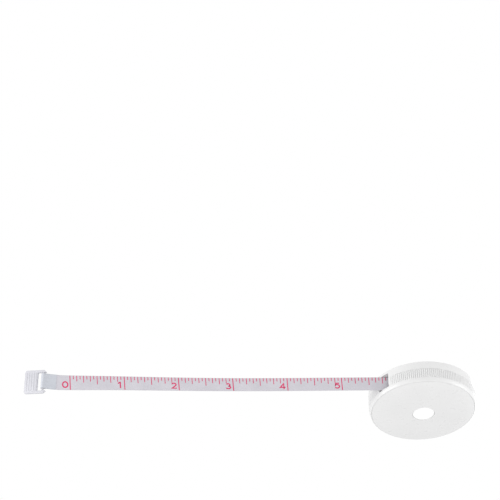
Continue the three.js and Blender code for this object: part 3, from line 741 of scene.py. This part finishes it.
def inset(outline, depth):
    """An outline that runs anticlockwise, moved inwards by a depth along its normals."""
    tangent = np.roll(outline, -1, axis=0) - np.roll(outline, 1, axis=0)
    tangent /= np.linalg.norm(tangent, axis=1, keepdims=True)
    return outline + depth * np.stack([-tangent[:, 1], tangent[:, 0]], axis=1)


def tab_plate():
    """The tab: a plate with two arms. Its edge follows a quarter circle above and below, whose
    size shrinks towards the arms' narrow tips."""
    upper = [
        (tab_slot_reach, tab_slot_half, slot_round), (-tab_lip, tab_slot_half, tip_round),
        (-tab_lip, tab_half - tab_chamfer, tip_round), (tab_chamfer - tab_lip, tab_half, shoulder_round),
        (tab_reach, tab_half, corner_round),
    ]
    lower = [(x, -y, bend) for x, y, bend in upper]
    outline = rounded([*lower, *upper[::-1]])
    edge = tab_edge * np.clip((outline[:, :1] + tab_lip) / tip_taper, tip_edge_share, 1)
    turn = np.radians(np.linspace(0, 90, 6))
    share = np.concatenate([(1 - np.cos(turn))[::-1], 1 - np.cos(turn)])
    rise = np.concatenate([-np.sin(turn)[::-1], np.sin(turn)])
    flat = np.sign(rise - 1e-9)
    rows = [np.hstack([inset(outline, edge * s), side * (tab_thickness / 2 - edge) + edge * r])
            for s, r, side in zip(share, rise, flat)]
    return tab_skin(np.stack(rows))


def rod_along(place, length, radius, height=0.0, round_end=True, sides=20):
    """A rod across the tab: its radius follows a quarter circle at its ends, or they are flat."""
    lean = np.radians(np.linspace(-88, 88, 25))
    if round_end:
        reach = np.sign(lean) * (length / 2 - radius) + radius * np.sin(lean)
        size = radius * np.cos(lean)
    else:
        reach = np.array([-length / 2, length / 2])
        size = np.full(2, radius)
    turn = np.linspace(0, 2 * math.pi, sides, endpoint=False)
    x = place + size[:, None] * np.cos(turn)
    z = height + size[:, None] * np.sin(turn)
    return tab_skin(np.stack(np.broadcast_arrays(x, reach[:, None], z), axis=-1))


def end_tab():
    """The plate, the bar that the tape folds round, and five grip ridges on each face."""
    bar = rod_along(0.0, 2 * (tab_half - bar_inset), bar_radius, round_end=False, sides=40)
    rise = tab_thickness / 2 + ridge_rise - ridge_radius
    places = np.linspace(tab_slot_reach + ridge_first, tab_reach - ridge_last, ridge_count)
    ridges = [rod_along(x, 2 * (tab_half - ridge_inset), ridge_radius, side * rise)
              for x in places for side in (-1, 1)]
    return [tab_plate(), bar, *ridges]


# Springs that the button and the brake press together

def wound_spring():
    """The button's spring, a round wire wound about Z. With u the share of the way up, it turns by
    u times its turns and climbs in proportion to u, but for the flat part at each end."""
    u = np.linspace(0, 1, 141)[:, None]
    turn = 2 * math.pi * spring_turns * u
    climb = np.clip((spring_turns * u - spring_flat) / (spring_turns - 2 * spring_flat), 0, 1)
    middle = spring_foot + spring_wire + climb * (spring_top - spring_foot - 2 * spring_wire)
    around = np.linspace(0, 2 * math.pi, 12, endpoint=False)
    reach = spring_radius + spring_wire * np.cos(around)
    return skin(np.stack([reach * np.cos(turn), reach * np.sin(turn),
                          middle + spring_wire * np.sin(around)], axis=-1))


def leaf_spring():
    """The brake's leaf spring: a parabola through the middles of its free end, its bend and its
    seat, with a flat superellipse for its cross-section."""
    t = np.linspace(-1, 1, 25)[:, None]
    free, bend, seat = leaf_heights
    middle = bend + (seat - free) / 2 * t + ((free + seat) / 2 - bend) * t * t
    around = np.linspace(0, 2 * math.pi, 20, endpoint=False)
    side, lift = (np.sign(v) * np.abs(v) ** leaf_roundness for v in (np.cos(around), np.sin(around)))
    return skin(np.stack(np.broadcast_arrays(
        (leaf_from + leaf_seat) / 2 + (leaf_seat - leaf_from) / 2 * t, leaf_half * side,
        middle + leaf_thickness / 2 * lift), axis=-1))


# Ornament on the dome

def inked(x, y, lift):
    """Points over the dome, at its height there plus the lift."""
    return np.stack([x, y, dome_height(np.hypot(x, y)) + lift], axis=-1)


def petal(angle, start, end, spread, cols=7, rows=22):
    """A petal of ink: along it the half width is the spread times the sine of pi times the share
    to the power 0.8, and it is turned to its angle about the dome's axis."""
    share = np.linspace(0, 1, rows)[:, None]
    half = spread * np.sin(math.pi * share ** 0.8)
    side = np.linspace(-1, 1, cols)
    side = np.concatenate([side, side[::-1]])[None]
    lift = np.repeat([ink_top, ink_foot], cols)[None]
    u, v = start + (end - start) * share + 0 * side, half * side
    x, y = u * math.cos(angle) - v * math.sin(angle), u * math.sin(angle) + v * math.cos(angle)
    return skin(inked(x, y, lift + 0 * x))


def ink_ring(inner, outer):
    """A thin ring of ink: a section that follows the dome's arc above and below, turned."""
    out = np.linspace(inner, outer, 4)
    over = np.stack([out, dome_height(out) + ink_top], axis=1)
    under = np.stack([out, dome_height(out) + ink_foot], axis=1)
    return turned(section(over, under[::-1]), steps=180)


def ink_dot(angle, reach, radius):
    """A round dot of ink: a circle on the dome, carried from the ink's foot to its top."""
    turn = np.linspace(0, 2 * math.pi, 24, endpoint=False)
    x = reach * math.cos(angle) + radius * np.cos(turn)
    y = reach * math.sin(angle) + radius * np.sin(turn)
    return skin(np.stack([inked(x, y, ink_foot), inked(x, y, ink_top)]))


def ornament():
    """A rosette: eight broad petals, eight narrow ones between them, two rings and a ring of dots."""
    step = 2 * math.pi / petal_count
    broad = [petal(k * step, *broad_petal) for k in range(petal_count)]
    narrow = [petal((k + 0.5) * step, *narrow_petal) for k in range(petal_count)]
    dots = [ink_dot((k + 0.5) * step / 2, dot_reach, dot_radius) for k in range(2 * petal_count)]
    return [*broad, *narrow, *dots, ink_ring(*outer_ring), ink_ring(*inner_ring)]


# Pieces, each with its body, its slot and the nodes that it replaces

piece("front_cover_shell", front_cover(), case_white, "case", ["front_cover"])
piece("ribbed_band", case_band(), band_white, "case", ["case_band"], crease=50)
piece("rear_cover_shell", rear_cover(), case_white, "case", ["rear_cover"])
piece("button_cap", push_button(), button_white_and_glare, "button", ["push_button"])
piece("cover_ornament", ornament(), ornament_ink, "case")
piece("tab_moulding", end_tab(), tab_white, "tab", ["end_tab"])
piece("tape_fold", [tape_fold()], fold_shaded_cloth, "tape_end", ["tape_end_loop"])
piece("tape_winding", [tape_winding()], tape_cloth, "spool", ["tape_coil"])
lead = tape_course(np.array([0.0, -run_start]))
piece("tape_lead", [ribbon(*lead)], tape_cloth, "case", ["tape_inner_run"])

course = tape_course(np.linspace(-run_start, strip_gap - fold_end, 320))
strip = piece("tape_strip", [ribbon(*course)], tape_cloth, "case", ["tape_free_run"])
marks = piece("tape_marks", scale_marks(), scale_ink, "case")
figures = piece("tape_figures", scale_figures(), scale_ink, "case")
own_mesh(strip)
# The zero line keeps its distance from the fold at every pose, and ends up inside the case.
for printed in (marks, figures):
    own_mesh(printed)

button_coil = piece("button_coil", [wound_spring()], spring_steel, "case", ["button_spring"])
brake_leaf = piece("brake_leaf", [leaf_spring()], spring_steel, "case", ["lever_spring"])
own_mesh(button_coil)
# The lever presses the leaf's free end towards the rear cover, whose wall slopes there.
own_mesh(brake_leaf)

# The inner nodes keep their own meshes and take these finishes.
for material, names in [
    (spool_plastic, ["spool_drum", "spool_flange", "spring_cover", "tape_anchor", "brake_lever"]),
    (spring_steel, ["mainspring", "spool_axle", "axle_washer", "axle_retainer", "lever_pin"]),
    (brake_rubber, ["brake_pad"]),
]:
    for name in names:
        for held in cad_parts[name].material_slots:
            held.material = material


# Floor and light

def softbox(name, place, size, power):
    """A square soft light that faces the middle of the tape measure, in metres and watts."""
    data = bpy.data.lights.new(name, "AREA")
    data.size = size
    data.energy = power
    made = bpy.data.objects.new(name, data)
    middle = Vector((-0.05, -0.01, 0.008))
    axes = aim(Vector(place) - middle, right=(1, 0.01, 0.01))
    made.matrix_world = Matrix.LocRotScale(Vector(place), axes.to_quaternion(), None)
    bpy.context.collection.objects.link(made)


def pale_floor():
    """A plain pale floor just under the case, whose lit paper fades into the white room's own
    white a little way off. It shows only from above and lets light through, so that the button
    side is lit too."""
    reach, height = 3.0, -0.05 * MM
    paper_tone, fade_start, fade_end = 0.91, 0.2, 0.7
    mesh = bpy.data.meshes.new("floor")
    mesh.from_pydata([(-reach, -reach, height), (reach, -reach, height), (reach, reach, height),
                      (-reach, reach, height)], [], [(0, 1, 2, 3)])
    made = bpy.data.materials.new("floor_paper")
    made.use_nodes = True
    tree = made.node_tree
    tree.nodes.clear()
    lit = node(tree, "ShaderNodeBsdfDiffuse", {"Color": (paper_tone, paper_tone, paper_tone, 1)})
    white = node(tree, "ShaderNodeEmission", {"Color": (1, 1, 1, 1), "Strength": 1.0})
    place = node(tree, "ShaderNodeTexCoord")
    away = node(tree, "ShaderNodeVectorMath", {0: place.outputs["Object"]}, operation="LENGTH")
    fade = ranged(tree, away.outputs["Value"], low=0, high=1, start=fade_start, end=fade_end)
    paper = node(tree, "ShaderNodeMixShader", {
        0: fade, 1: lit.outputs["BSDF"], 2: white.outputs["Emission"]})
    clear = node(tree, "ShaderNodeBsdfTransparent")
    side = node(tree, "ShaderNodeNewGeometry")
    mixed = node(tree, "ShaderNodeMixShader", {
        0: side.outputs["Backfacing"], 1: paper.outputs["Shader"], 2: clear.outputs["BSDF"]})
    node(tree, "ShaderNodeOutputMaterial", {"Surface": mixed.outputs["Shader"]})
    mesh.materials.append(made)
    floor = bpy.data.objects.new("floor", mesh)
    bpy.context.collection.objects.link(floor)
    floor.visible_diffuse = floor.visible_glossy = floor.visible_transmission = False
    floor.visible_shadow = False


def white_room():
    """A white room: pure white where the camera sees it, and a softer white that lights."""
    seen_strength, light_strength = 1.0, 0.83
    world = bpy.data.worlds.new("white_room")
    world.use_nodes = True
    tree = world.node_tree
    tree.nodes.clear()
    seen = node(tree, "ShaderNodeLightPath")
    extra = maths(tree, "MULTIPLY", seen.outputs["Is Camera Ray"], seen_strength - light_strength)
    strength = maths(tree, "ADD", extra, light_strength)
    light = node(tree, "ShaderNodeBackground", {"Color": (1, 1, 1, 1), "Strength": strength})
    node(tree, "ShaderNodeOutputWorld", {"Surface": light.outputs["Background"]})
    bpy.context.scene.world = world


pale_floor()
white_room()
softbox("light_left", (-0.75, -0.2, -0.05), size=0.5, power=2.45)
softbox("light_right", (0.65, -0.2, -0.05), size=0.5, power=1.75)
softbox("light_below", (0.0, 0.0, -0.75), size=0.6, power=0.95)
softbox("light_above", (-0.2, -0.25, 0.8), size=0.6, power=0.45)
softbox("light_behind", (0.35, 0.7, 0.35), size=0.5, power=1.2)
bpy.context.scene.view_settings.view_transform = "Standard"
